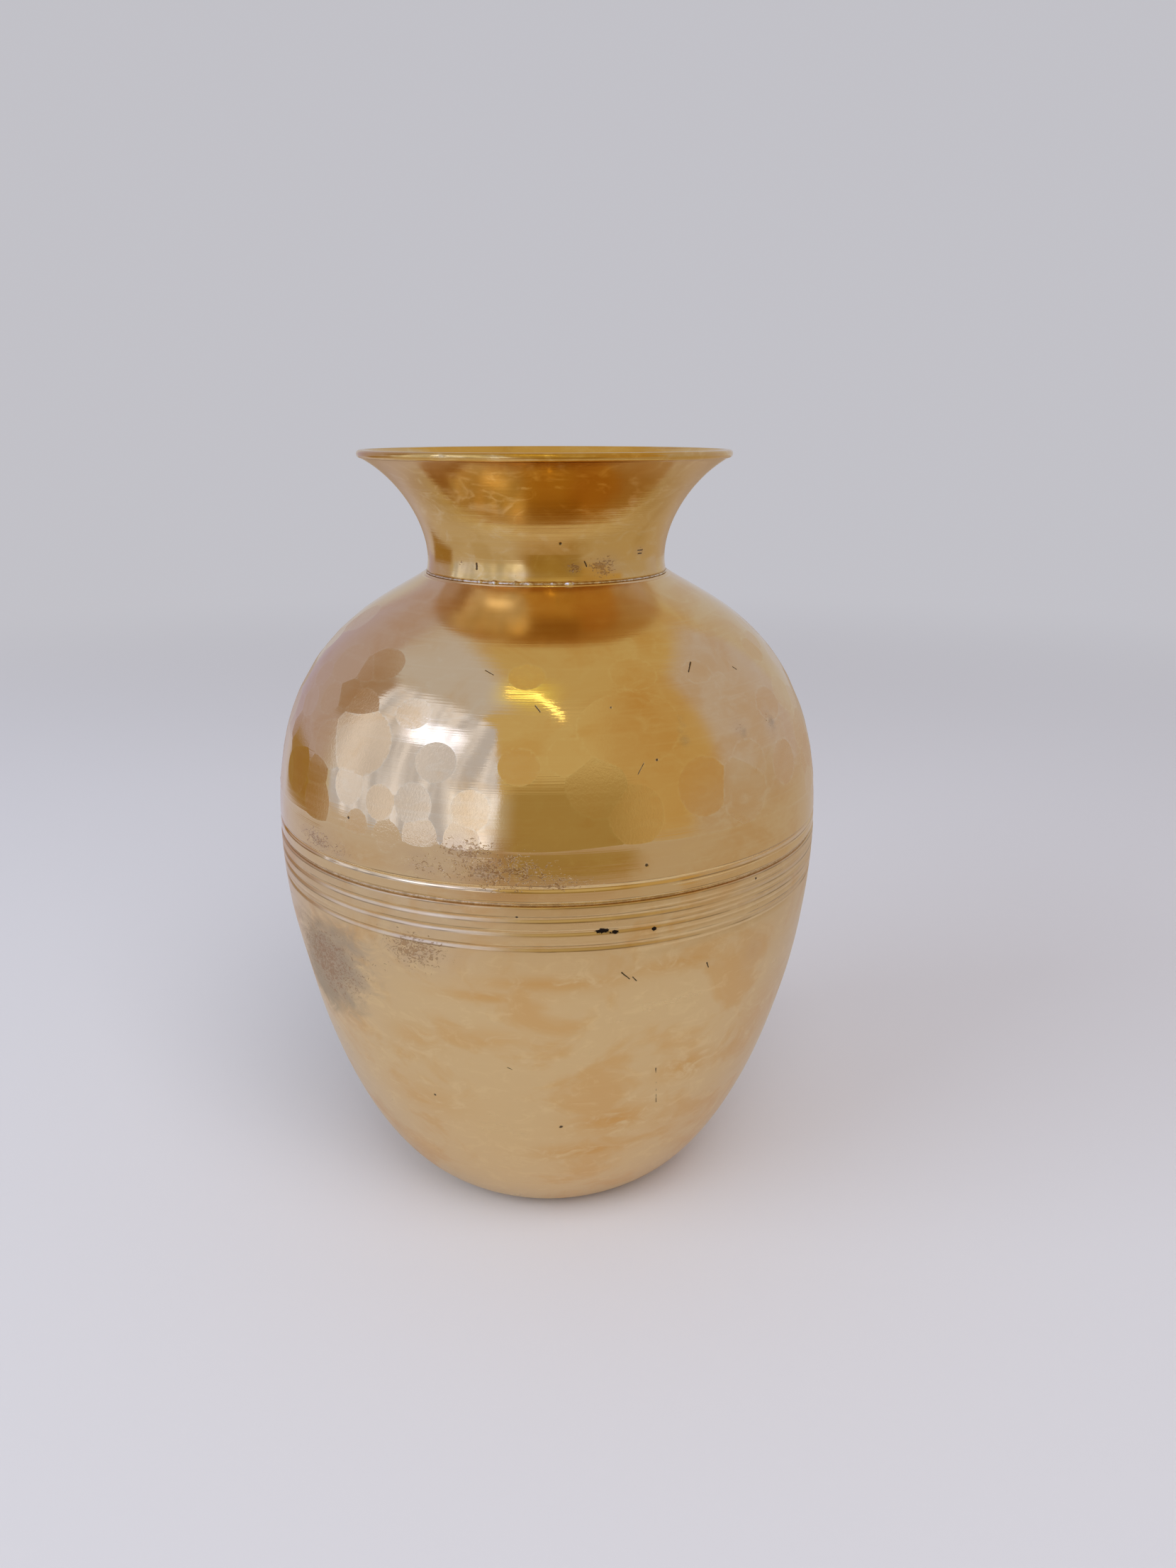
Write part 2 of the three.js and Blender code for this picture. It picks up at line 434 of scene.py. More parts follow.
def all_strikes():
    """The listed blows, and rows of random ones over the rest of the shoulder."""
    chance = random.Random(7)
    strikes = [Strike(*blow) for blow in FRONT_STRIKES]
    for row, height in enumerate(STRIKE_HEIGHTS):
        radius, _ = shoulder_outline.at(shoulder_outline.distance_at(height))
        count = round(2 * math.pi * radius / STRIKE_SPACING)
        for number in range(count):
            bearing = (number + 0.5 * (row % 2) + chance.uniform(-0.42, 0.42)) * 360 / count
            bearing = (bearing + 180) % 360 - 180
            level = height + chance.uniform(-3.0, 3.0)
            depth = chance.uniform(0.05, 0.17) * (1 if row < SHALLOW_FROM_ROW else 0.65)
            tilts = chance.gauss(0, 1.2), chance.gauss(0, 1.0)
            dome = chance.uniform(250, 900)
            blow = Strike(bearing, level, depth, *tilts, dome)
            crowded = bearing < PLAIN_FROM and level < PLAIN_ABOVE and clear_of(blow, strikes)
            if abs(bearing) > FRONT_EDGE or crowded:
                strikes.append(blow)
    return strikes


# The line turned under the collar: how far below the top, its depth and its half width.
NECK_LINE, NECK_LINE_DEPTH, NECK_LINE_HALF = 0.45, 0.22, 0.22


def plain_depth(bearings, distances):
    """The unstruck surface between the blows, with the line turned close under the collar."""
    below_top = shoulder_outline.length - distances
    line = NECK_LINE_DEPTH * np.exp(-(((below_top - NECK_LINE) / NECK_LINE_HALF) ** 2))
    return 0.035 * wave(bearings, distances, 21, 12, 30) - line


def cut_depth(bearings, distances):
    """The band turned below the hammered part, whose cut runs out upwards."""
    _, heights = shoulder_outline.at(distances)
    run_out = 0.12 * np.maximum(0, heights - BAND_EDGE)
    return run_out - BAND_CUT + band_depth(bearings, heights, UPPER_GROOVES)


class StruckSkin:
    """The outside of the shoulder, cut along the edges where one mark meets another."""

    def __init__(self, mesh, rows, strikes):
        self.mesh = mesh
        self.rows = rows
        self.strikes = strikes
        self.cuts = {}
        bearings, distances = np.meshgrid(mesh.bearings, rows)
        depths = plain_depth(bearings, distances)
        self.marks = np.full(depths.shape, BASE_MARK)
        surfaces = [cut_depth(bearings, distances)]
        surfaces += [strike.depth(bearings, distances) for strike in strikes]
        for mark, surface in enumerate(surfaces, start=BAND_MARK):
            deeper = surface < depths
            depths = np.where(deeper, surface, depths)
            self.marks[deeper] = mark
        self.rings = []
        for distance, depth in zip(rows, depths):
            self.rings.append(mesh.ring(*shoulder_outline.offset(distance, -depth)))
        self.join()

    def depth_of(self, mark, place):
        if mark >= FIRST_STRIKE:
            return self.strikes[mark - FIRST_STRIKE].depth(*place)
        return (plain_depth, cut_depth)[mark](*place)

    def add_point(self, mark, place):
        depth = float(self.depth_of(mark, place))
        radius, height = shoulder_outline.offset(place[1], -depth)
        self.mesh.ridge_points.append(self.mesh.add_point(place[0], radius, height))
        return self.mesh.ridge_points[-1]

    def cut(self, one, other):
        """The point on an edge where the marks of its two ends are equally deep."""
        key = (min(one[0], other[0]), max(one[0], other[0]))
        if key not in self.cuts:
            gap = [
                float(self.depth_of(one[1], end[2]) - self.depth_of(other[1], end[2]))
                for end in (one, other)
            ]
            share = gap[0] / (gap[0] - gap[1]) if gap[0] != gap[1] else 0.5
            share = min(max(share, 0.04), 0.96)
            place = tuple(a + share * (b - a) for a, b in zip(one[2], other[2]))
            self.cuts[key] = (self.add_point(one[1], place), place)
        return self.cuts[key]

    def triangle(self, corners):
        """Adds a triangle, or its parts if its corners lie on different marks."""
        marks = [corner[1] for corner in corners]
        if len(set(marks)) == 1:
            self.mesh.add_face([corner[0] for corner in corners], marks[0])
        elif len(set(marks)) == 2:
            odd = next(k for k in range(3) if marks.count(marks[k]) == 1)
            tip, left, right = (corners[(odd + k) % 3] for k in range(3))
            first, last = self.cut(tip, left)[0], self.cut(tip, right)[0]
            self.mesh.add_face([tip[0], first, last], tip[1])
            self.mesh.add_face([first, left[0], right[0], last], left[1])
        else:
            cuts = [self.cut(corners[k], corners[(k + 1) % 3]) for k in range(3)]
            place = tuple(sum(cut[1][axis] for cut in cuts) / 3 for axis in (0, 1))
            middle = self.add_point(marks[0], place)
            for k in range(3):
                self.mesh.add_face([corners[k][0], cuts[k][0], middle, cuts[k - 1][0]], marks[k])

    def join(self):
        for row in range(len(self.rows) - 1):
            for column in range(self.mesh.columns):
                quad = []
                for across, up in ((0, 0), (1, 0), (1, 1), (0, 1)):
                    index = (column + across) % self.mesh.columns
                    bearing = (column + across) * 360 / self.mesh.columns
                    mark = self.marks[row + up, index]
                    place = (bearing, self.rows[row + up])
                    quad.append((self.rings[row + up] + index, mark, place))
                halves = ((0, 1, 2), (0, 2, 3)) if (row + column) % 2 else ((0, 1, 3), (1, 2, 3))
                for half in halves:
                    self.triangle([quad[k] for k in half])


SHOULDER_STAINS = (
    (20, 147, 5, 9, 0.9), (24, 138, 4, 7, 0.6), (27, 158, 6, 3, 0.8), (36, 122, 12, 5, 0.6),
    (46, 143, 9, 6, 0.6), (31, 129, 6, 5, 0.5), (40, 152, 9, 4, 0.5), (50, 124, 5, 5, 0.6),
    (62, 153, 5, 4, 0.5), (-36, 158, 10, 3, 0.5), (-38, 111, 8, 2, 0.6),
    (6, 112, 8, 2.5, 0.5), (40, 107, 9, 2, 0.6), (-55, 118, 6, 3, 0.5), (100, 140, 14, 9, 0.7),
    (140, 125, 16, 7, 0.6), (-170, 148, 18, 8, 0.6), (-120, 135, 14, 10, 0.7), (-90, 120, 9, 5, 0.5),
)
SHOULDER_PITTING = (
    (-9, 111.5, 12, 5.5, 1.0), (-14, 116, 7, 3.5, 0.95), (2, 109, 7, 3, 0.8),
    (-22, 112, 7, 3.5, 0.8), (-50, 111, 8, 3.5, 0.95), (-43, 110, 4, 3, 0.8),
    (42, 138, 2, 2, 0.6), (53, 137, 2, 3, 0.6), (110, 112, 12, 3, 0.8), (-140, 110, 15, 2.5, 0.8),
    (170, 114, 8, 3, 0.7),
)
SHOULDER_HAZE = (
    (38, 118, 26, 12, 1.0), (44, 140, 26, 14, 0.9), (24, 150, 14, 8, 0.6), (62, 128, 20, 20, 0.9),
    (-58, 118, 10, 6, 0.5), (-20, 164, 60, 7, 1.0), (30, 164, 60, 7, 1.0),
    (130, 130, 40, 20, 0.8), (-140, 135, 40, 20, 0.7),
)
SHOULDER_TARNISH = (
    (-10, 111.5, 9, 3, 0.35), (-50, 110, 8, 2, 0.3), (27.5, 139, 1.8, 6, 0.4), (54, 137, 2, 3, 0.5),
    (43, 137, 1.5, 2, 0.5), (110, 112, 12, 3, 0.4),
)


def make_shoulder(material):
    """Hammered upper half of the body, from the belly to the ledge under the collar."""
    mesh = TurnedMesh(420)
    rows = row_distances(shoulder_outline, SHOULDER_BOTTOM, BAND_EDGE - 5, 0.2, 1.0)
    near_top = np.arange(0, 2.2, 0.15)
    rows = np.concatenate([rows[rows < shoulder_outline.length - 2.6],
                           np.sort(shoulder_outline.length - near_top)])
    skin = StruckSkin(mesh, rows, all_strikes())
    rings = [skin.rings[-1], mesh.ring(NECK_RADIUS - COLLAR_WALL, SHOULDER_TOP)]
    for distance in np.linspace(shoulder_outline.length - 2.5, 0, 28):
        rings.append(mesh.ring(*shoulder_outline.offset(distance, BODY_WALL)))
    rings.append(skin.rings[0])
    mesh.skin(rings)
    masks = (("stain_and_painted_reflection", SHOULDER_STAINS), ("tarnish", SHOULDER_TARNISH),
             ("pitting", SHOULDER_PITTING), ("haze", SHOULDER_HAZE))
    piece = mesh.make("hammered_shoulder", masks)
    return finish_piece(piece, "shoulder_shell", material)


# ---------------------------------------------------------------- collar

# The nick in the lip, as bearing, half angle and depth, and the lathe's lines, as height and depth.
NICK = (-30.0, 1.1, 0.35)
COLLAR_LINES = ((183.2, 0.02), (181.0, 0.012), (187.5, 0.010), (176.8, 0.015), (194.0, 0.008))


def collar_depth(bearings, distances):
    """Slight unevenness that the lathe left: shallow rings that wander in height."""
    _, heights = collar_outline.at(distances)
    depth = 0.02 * wave(bearings, distances, 31, 6, 24)
    for height, cut in COLLAR_LINES:
        drift = 0.25 * np.sin(np.radians(bearings + height * 30))
        depth = depth - cut * np.exp(-(((heights - height - drift) / 0.35) ** 2))
    return depth * np.clip(distances / 1.5, 0, 1)


# The first three spots paint a dark reflection band round the upper collar and its lip; the rest are
# real copper-coloured marks.
COLLAR_STAINS_AND_PAINTED_REFLECTION = (
    (0, 191, 48, 6.0, 2.0), (-38, 191, 24, 6, 1.6), (0, 199.5, 70, 1.6, 1.0),
    (12, 178, 6, 2, 0.9), (-5, 175, 5, 2, 0.7), (-45, 178, 8, 3, 0.4), (35, 190, 10, 5, 0.4),
    (-25, 190, 12, 4, 0.5), (120, 180, 14, 5, 0.6), (-150, 186, 18, 6, 0.6),
)
COLLAR_PITTING = (
    (12, 173.5, 4, 2, 1.0), (26, 173, 9, 3, 1.0), (47, 176, 4, 1.2, 0.8), (-40, 173, 6, 2, 0.5),
    (-8, 171.5, 8, 1, 0.6), (150, 174, 15, 3, 0.8), (-120, 175, 12, 3, 0.6),
)
COLLAR_TARNISH = ((28, 174, 8, 3, 0.4), (12, 173, 5, 2, 0.4), (150, 174, 15, 3, 0.4))


def make_collar(material):
    """Flared collar with a rounded lip, thick and closed."""
    mesh = TurnedMesh(360)
    rings = []
    for distance in np.linspace(0, collar_outline.length, 76):
        depth = collar_depth(mesh.bearings, distance)
        rings.append(mesh.ring(*collar_outline.offset(distance, -depth)))
    turn = (mesh.bearings - NICK[0] + 180) % 360 - 180
    nick = NICK[2] * np.exp(-((turn / NICK[1]) ** 2))
    half = LIP_HEIGHT / 2
    for angle in np.radians(np.linspace(-78, 90, 12)):
        radius = MOUTH_RADIUS - half + (half - nick) * math.cos(angle)
        rings.append(mesh.ring(radius, RIM_HEIGHT - half + half * math.sin(angle)))
    rings.append(mesh.ring(MOUTH_RADIUS - half - LIP_LAND * 0.7, RIM_HEIGHT))
    for distance in np.linspace(collar_outline.length - 0.2, 0.6, 50):
        depth = COLLAR_WALL - 0.5 * collar_depth(mesh.bearings, distance)
        radius, height = collar_outline.offset(distance, depth)
        rings.append(mesh.ring(radius, height))
    rings.append(mesh.ring(NECK_RADIUS - COLLAR_WALL, COLLAR_BOTTOM))
    rings.append(rings[0])
    mesh.skin(rings)
    masks = (("stain_and_painted_reflection", COLLAR_STAINS_AND_PAINTED_REFLECTION), ("tarnish", COLLAR_TARNISH),
             ("pitting", COLLAR_PITTING))
    return finish_piece(mesh.make("turned_collar", masks), "collar", material)


# ---------------------------------------------------------------- braze

def bead_ring(name, columns, sides, centre_radius, centre_height, thickness, flatness):
    """A ring of metal that has run, whose thickness varies round the pot."""
    mesh = TurnedMesh(columns)
    rings = []
    for angle in np.linspace(0, 2 * math.pi, sides, endpoint=False):
        radius = centre_radius + thickness * math.cos(angle)
        height = centre_height + thickness * flatness * math.sin(angle)
        rings.append(mesh.ring(radius, height))
    mesh.skin(rings + rings[:1])
    return mesh.make(name)


def make_belly_braze(material):
    """Braze that fills the join between the shells, at the bottom of the second groove."""
    columns = 360
    bearings = np.arange(columns) * 360 / columns
    rough = 0.02 * wave(bearings, bearings * 0, 41, 90, 10)
    reach = 0.8
    groove_floor = BELLY_RADIUS - GROOVE_DEPTH
    piece = bead_ring("belly_join", columns, 12, groove_floor - reach, BELLY_HEIGHT,
                      reach + rough, 0.8)
    return finish_piece(piece, "belly_braze", material)


# The bearings between which the solder was squeezed out most.
SOLDER_RUN = (-36, 18)


def make_neck_braze(material):
    """Solder squeezed out under the collar's foot, in blobs on the front and at the back."""
    columns = 720
    bearings = (np.arange(columns) * 360 / columns + 180) % 360 - 180
    rough = wave(bearings, bearings * 0, 42, 120, 10)
    middle = sum(SOLDER_RUN) / 2
    reach = (SOLDER_RUN[1] - SOLDER_RUN[0]) / 2
    run = np.clip((reach + 6 - np.abs(bearings - middle)) / 6, 0, 1)
    run = np.maximum(run, 0.6 * np.clip((40 - np.abs(np.abs(bearings) - 150)) / 10, 0, 1))
    thickness = 0.34 + run * (0.1 + 0.55 * np.clip(rough, 0, 1.1))
    piece = bead_ring("neck_join", columns, 10, NECK_RADIUS - 0.1, COLLAR_BOTTOM - 0.25,
                      thickness, 0.7)
    return finish_piece(piece, "neck_braze", material)


# ---------------------------------------------------------------- materials

class Nodes:
    """Short calls that build the node tree of one material."""

    def __init__(self, name):
        self.material = bpy.data.materials.new(name)
        self.material.use_nodes = True
        self.tree = self.material.node_tree
        self.tree.nodes.clear()
        self.output = self.add("ShaderNodeOutputMaterial")

    def add(self, kind, **settings):
        node = self.tree.nodes.new(kind)
        for key, value in settings.items():
            setattr(node, key, value)
        return node

    def feed(self, socket, value):
        """Links a socket, or sets a plain value on it."""
        if isinstance(value, bpy.types.NodeSocket):
            self.tree.links.new(value, socket)
        else:
            socket.default_value = value

    def math(self, operation, *values, clamp=False):
        node = self.add("ShaderNodeMath", operation=operation, use_clamp=clamp)
        for socket, value in zip(node.inputs, values):
            self.feed(socket, value)
        return node.outputs[0]

    def vector(self, operation, *values):
        node = self.add("ShaderNodeVectorMath", operation=operation)
        for socket, value in zip(node.inputs, values):
            self.feed(socket, value)
        scalar = operation in ("DOT_PRODUCT", "LENGTH", "DISTANCE")
        return node.outputs["Value" if scalar else "Vector"]

    def scaled(self, vector, factor):
        node = self.add("ShaderNodeVectorMath", operation="SCALE")
        self.feed(node.inputs[0], vector)
        self.feed(node.inputs["Scale"], factor)
        return node.outputs["Vector"]

    def stretch(self, around, up):
        """Object coordinates, scaled round the pot and up it, in features per metre."""
        return self.vector("MULTIPLY", self.place, (around, around, up))

    @property
    def place(self):
        return self.add("ShaderNodeTexCoord").outputs["Object"]

    def noise(self, vector, detail=2.0, roughness=0.5, distortion=0.0):
        node = self.add("ShaderNodeTexNoise", normalize=True)
        self.feed(node.inputs["Vector"], vector)
        self.feed(node.inputs["Scale"], 1.0)
        self.feed(node.inputs["Detail"], detail)
        self.feed(node.inputs["Roughness"], roughness)
        self.feed(node.inputs["Distortion"], distortion)
        return node.outputs["Fac"]

    def span(self, value, low, high, to_low=0.0, to_high=1.0):
        """Carries a value from one span to another, smoothly and without passing its ends."""
        node = self.add("ShaderNodeMapRange", interpolation_type="SMOOTHSTEP", clamp=True)
        for key, number in (("Value", value), ("From Min", low), ("From Max", high),
                            ("To Min", to_low), ("To Max", to_high)):
            self.feed(node.inputs[key], number)
        return node.outputs[0]

    def mix(self, share, one, other):
        node = self.add("ShaderNodeMix", data_type="RGBA", clamp_factor=True)
        self.feed(node.inputs[0], share)
        self.feed(node.inputs[6], one)
        self.feed(node.inputs[7], other)
        return node.outputs[2]

    def attribute(self, name):
        return self.add("ShaderNodeAttribute", attribute_name=name).outputs["Fac"]

    def bump(self, height, depth, under=None):
        """A bump of a depth in metres, on top of another."""
        node = self.add("ShaderNodeBump")
        self.feed(node.inputs["Strength"], 1.0)
        self.feed(node.inputs["Distance"], depth)
        self.feed(node.inputs["Height"], height)
        if under is not None:
            self.feed(node.inputs["Normal"], under)
        return node.outputs["Normal"]

    def blend(self, share, first, second):
        """One surface that passes into another as the share grows."""
        mixer = self.add("ShaderNodeMixShader")
        self.feed(mixer.inputs[0], share)
        self.feed(mixer.inputs[1], first)
        self.feed(mixer.inputs[2], second)
        return mixer.outputs[0]


def on_surface(outline, bearing, height):
    """A point of the pot's surface, in metres."""
    turn = math.radians(bearing)
    radius, _ = outline.at(outline.distance_at(height))
    return radius * MM * math.sin(turn), -radius * MM * math.cos(turn), height * MM


def scratches(nodes, outline, flaws):
    """A share that is 1 in each scratch or dot, given by its two ends and its half width."""
    wobble = nodes.noise(nodes.stretch(900, 900), detail=1.0)
    total = 0.0
    for bearing, height, end_bearing, end_height, half_width in flaws:
        start = Vector(on_surface(outline, bearing, height))
        run = Vector(on_surface(outline, end_bearing, end_height)) - start
        away = nodes.vector("SUBTRACT", nodes.place, tuple(start))
        along = nodes.vector("DOT_PRODUCT", away, tuple(run / max(run.length_squared, 1e-12)))
        along = nodes.math("MINIMUM", nodes.math("MAXIMUM", along, 0.0), 1.0)
        foot = nodes.scaled(tuple(run), along)
        gap = nodes.vector("DISTANCE", away, foot)
        width = nodes.math("MULTIPLY", wobble, 2 * half_width * MM)
        share = nodes.span(nodes.math("DIVIDE", gap, width), 0.6, 1.3, 1.0, 0.0)
        total = share if total == 0.0 else nodes.math("MAXIMUM", total, share)
    return total


# The colour of the painted shade lines along the edges of the grooves.
GROOVE_SHADE_COLOUR = (0.24, 0.14, 0.05, 1)


def groove_shade_lines(nodes, heights):
    """A share that is 1 in the painted shade lines along both edges of each groove."""
    parts = nodes.add("ShaderNodeSeparateXYZ")
    nodes.feed(parts.inputs[0], nodes.place)
    drift = nodes.math("SUBTRACT", nodes.noise(nodes.stretch(25, 25)), 0.5)
    level = nodes.math("MULTIPLY_ADD", drift, 0.5 * MM, parts.outputs[2])
    total = 0.0
    for height in heights:
        for edge in (-0.75, 0.7):
            gap = nodes.math("ABSOLUTE", nodes.math("SUBTRACT", level, (height + edge) * MM))
            share = nodes.span(gap, 0.05 * MM, 0.22 * MM, 1.0, 0.0)
            total = share if total == 0.0 else nodes.math("MAXIMUM", total, share)
    # The painted shade lines fade in and out along each groove.
    worn = nodes.span(nodes.noise(nodes.stretch(60, 400), detail=3.0), 0.40, 0.58, 0.10, 0.62)
    return nodes.math("MULTIPLY", total, worn) if heights else 0.0


class Brass:
    """What one piece's brass looks like: its metal colour, finish and flaws.

    lines and grain are depths in millimetres, and brushed is how pale the turned lines are.
    """

    def __init__(self, name, outline, colour, blush, roughness, lines, brushed, grain,
                 anisotropy, flaws, grooves):
        self.name = name
        self.outline = outline
        self.colour = colour
        self.blush = blush
        self.roughness = roughness
        self.lines = lines
        self.brushed = brushed
        self.grain = grain
        self.anisotropy = anisotropy
        self.flaws = flaws
        self.grooves = grooves


TARNISH_COLOUR = (0.42, 0.36, 0.23, 1)
PORE_COLOUR = (0.64, 0.46, 0.28, 1)
PIT_COLOUR = (0.46, 0.27, 0.12, 1)
SOOT_COLOUR = (0.03, 0.022, 0.018, 1)
# The pale colour of worn brass, also used for the painted highlight along the edges between hammer
# marks.
WORN_AND_HIGHLIGHT_COLOUR = (0.85, 0.645, 0.325, 1)


def brass_material(look):
    """Brass whose colour, roughness and relief come from its wear."""
    nodes = Nodes(look.name)
    struck = nodes.math("GREATER_THAN", nodes.attribute("strike"), 0.1)
    stain_and_painted_reflection, tarnish = nodes.attribute("stain_and_painted_reflection"), nodes.attribute("tarnish")
    pitting, soot = nodes.attribute("pitting"), nodes.attribute("soot")

    clouds = nodes.noise(nodes.stretch(45, 60), detail=4.0, roughness=0.6, distortion=0.6)
    patches = nodes.noise(nodes.stretch(140, 260), detail=4.0, roughness=0.65, distortion=1.0)
    specks = nodes.noise(nodes.stretch(700, 900), detail=3.0, roughness=0.7)
    lines = nodes.noise(nodes.stretch(14, 2600), detail=2.0, roughness=0.6)
    broad_lines = nodes.noise(nodes.stretch(20, 700), detail=3.0, roughness=0.7)
    grain = nodes.noise(nodes.stretch(1900, 1300), detail=2.0, roughness=0.6, distortion=0.8)

    # Copper-coloured blushes, broken up by patches, and a paler bloom of wear between them. On the
    # collar the blush also paints a dark reflection band round its upper part and its lip.
    blush = nodes.math("MULTIPLY", stain_and_painted_reflection, nodes.span(patches, 0.26, 0.60), clamp=True)
    faint = nodes.math("MULTIPLY", nodes.span(clouds, 0.47, 0.66), 0.55)
    colour = nodes.mix(nodes.math("MAXIMUM", blush, faint), look.colour, look.blush)
    worn = nodes.math("MULTIPLY", nodes.span(patches, 0.50, 0.30),
                      nodes.math("MULTIPLY_ADD", blush, -0.35, 0.35))
    colour = nodes.mix(worn, colour, WORN_AND_HIGHLIGHT_COLOUR)
    brushed = nodes.math("MULTIPLY", nodes.span(broad_lines, 0.50, 0.72), look.brushed)
    colour = nodes.mix(brushed, colour, WORN_AND_HIGHLIGHT_COLOUR)

    # Each hammer mark keeps a tint of its own.
    tint = nodes.math("MULTIPLY", nodes.span(nodes.attribute("strike"), 0.55, 1.0), 0.40)
    colour = nodes.mix(tint, colour, look.blush)
    # Painted highlight: points on the edges between marks are lightened towards the worn-brass
    # colour.
    edge = nodes.math("MULTIPLY", nodes.attribute("ridge"), nodes.span(specks, 0.35, 0.6))
    colour = nodes.mix(nodes.math("MULTIPLY", edge, 0.6), colour, WORN_AND_HIGHLIGHT_COLOUR)

    # Tarnish, with a ragged edge, and pits where the casting was porous.
    ragged = nodes.math("ADD", tarnish, nodes.math("MULTIPLY", nodes.math(
        "SUBTRACT", patches, 0.5), 0.9))
    dull = nodes.math("MULTIPLY", nodes.span(ragged, 0.18, 0.85), nodes.span(tarnish, 0.05, 0.3))
    colour = nodes.mix(nodes.math("MULTIPLY", dull, 0.70), colour, TARNISH_COLOUR)
    holes = nodes.noise(nodes.stretch(760, 1150), detail=2.0, roughness=0.55, distortion=1.6)
    limit = nodes.math("MULTIPLY_ADD", pitting, -0.40, 0.86)
    pits = nodes.math("MULTIPLY", nodes.span(nodes.math(
        "SUBTRACT", holes, limit), -0.02, 0.05), nodes.span(pitting, 0.1, 0.3))
    worn = nodes.math("MULTIPLY", pitting, nodes.span(patches, 0.3, 0.6, 0.1, 0.5))
    colour = nodes.mix(worn, colour, PORE_COLOUR)
    colour = nodes.mix(nodes.math("MULTIPLY", pits, 0.75), colour, PIT_COLOUR)
    crust = nodes.span(nodes.math("ADD", soot, nodes.math("MULTIPLY", nodes.math(
        "SUBTRACT", specks, 0.5), 1.6)), 0.42, 0.60)
    crust = nodes.math("MULTIPLY", crust, nodes.span(soot, 0.05, 0.3))
    cuts = scratches(nodes, look.outline, look.flaws)
    # Painted shade: thin dark lines along both edges of each groove.
    colour = nodes.mix(groove_shade_lines(nodes, look.grooves), colour, GROOVE_SHADE_COLOUR)
    black = nodes.math("MAXIMUM", crust, nodes.math("MULTIPLY", cuts, 0.85))
    colour = nodes.mix(black, colour, SOOT_COLOUR)

    rough = nodes.math("MULTIPLY_ADD", nodes.math("SUBTRACT", clouds, 0.5), 0.16, look.roughness)
    rough = nodes.math("MULTIPLY_ADD", nodes.math("SUBTRACT", broad_lines, 0.5), 0.10, rough)
    rough = nodes.math("MULTIPLY_ADD", nodes.attribute("strike"), 0.07, rough)
    rough = nodes.math("MULTIPLY_ADD", nodes.attribute("haze"), 0.13, rough)
    rough = nodes.math("MULTIPLY_ADD", dull, 0.32, rough)
    rough = nodes.math("MULTIPLY_ADD", black, 0.4, rough, clamp=True)

    # Turning lines lie between the hammer marks, and the marks keep the hammer's grain.
    bare = nodes.math("SUBTRACT", 1.0, struck)
    ridges = nodes.math("MULTIPLY", nodes.math("ADD", lines, broad_lines), bare)
    normal = nodes.bump(ridges, look.lines * MM)
    texture = nodes.math("MULTIPLY", grain, nodes.math("MULTIPLY_ADD", struck, 1.0, 0.25))
    normal = nodes.bump(texture, look.grain * MM, normal)
    sunk = nodes.math("MULTIPLY", nodes.math("MAXIMUM", pits, cuts), -1.0)
    sunk = nodes.math("MULTIPLY_ADD", dull, nodes.math("MULTIPLY", specks, 0.6), sunk)
    normal = nodes.bump(sunk, 0.10 * MM, normal)

    shader = nodes.add("ShaderNodeBsdfPrincipled")
    shader.inputs["Metallic"].default_value = 1.0
    shader.inputs["Anisotropic"].default_value = look.anisotropy
    shader.inputs["Anisotropic Rotation"].default_value = 0.25
    tangent = nodes.add("ShaderNodeTangent", direction_type="RADIAL", axis="Z")
    nodes.feed(shader.inputs["Tangent"], tangent.outputs[0])
    nodes.feed(shader.inputs["Base Color"], colour)
    nodes.feed(shader.inputs["Roughness"], rough)
    nodes.feed(shader.inputs["Normal"], normal)
    nodes.feed(nodes.output.inputs["Surface"], shader.outputs[0])
    return nodes.material


# Scratches and dots, as bearing and height of one end, then of the other, and half the width.
BOWL_FLAWS = (
    (22.4, 56, 24.4, 44, 0.14), (13, 86, 14.6, 84, 0.16), (15.2, 84.4, 16, 83.2, 0.12),
    (31, 84, 31.5, 82.6, 0.14), (2, 40, 2, 40, 0.4), (-27, 47, -27, 47, 0.35),
    (42.4, 102.2, 42.4, 102.2, 0.35), (-5.8, 101.1, -5.8, 101.1, 0.35), (-9, 60, -8, 59.4, 0.1),
    (120, 60, 126, 52, 0.14), (-140, 82, -136, 80, 0.14), (175, 66, 178, 63, 0.14),
)
SHOULDER_FLAWS = (
    (34.3, 151.2, 36.4, 153, 0.16), (17.3, 111.8, 17.3, 111.8, 0.45), (49.2, 150.4, 50, 149.8, 0.14),
    (16.6, 132, 18.2, 134.5, 0.08), (16, 127, 17, 126, 0.12), (-14.5, 153.2, -12.4, 152.4, 0.10),
    (13, 146, 13, 146, 0.25), (20.8, 134.6, 20.8, 134.6, 0.25), (-40.2, 119, -40.2, 119, 0.3),
    (-2.6, 146.6, -1.6, 145.4, 0.12), (130, 148, 136, 145, 0.14), (-160, 130, -157, 127, 0.14),
)
COLLAR_FLAWS = (
    (6, 179, 6, 179, 0.3), (-33, 172.5, -33, 173.8, 0.25), (17, 174.5, 18, 173.4, 0.2),
    (45.5, 176.4, 49, 176.4, 0.12), (46, 175.6, 48.6, 175.6, 0.12), (100, 184, 104, 182, 0.12),
)


def bowl_brass():
    return brass_material(Brass(
        "satin_bowl_brass", bowl_outline, (0.75, 0.535, 0.265, 1), (0.70, 0.39, 0.12, 1),
        0.31, 0.020, 0.06, 0.008, 0.45, BOWL_FLAWS, (*LOWER_GROOVES, BELLY_HEIGHT)))


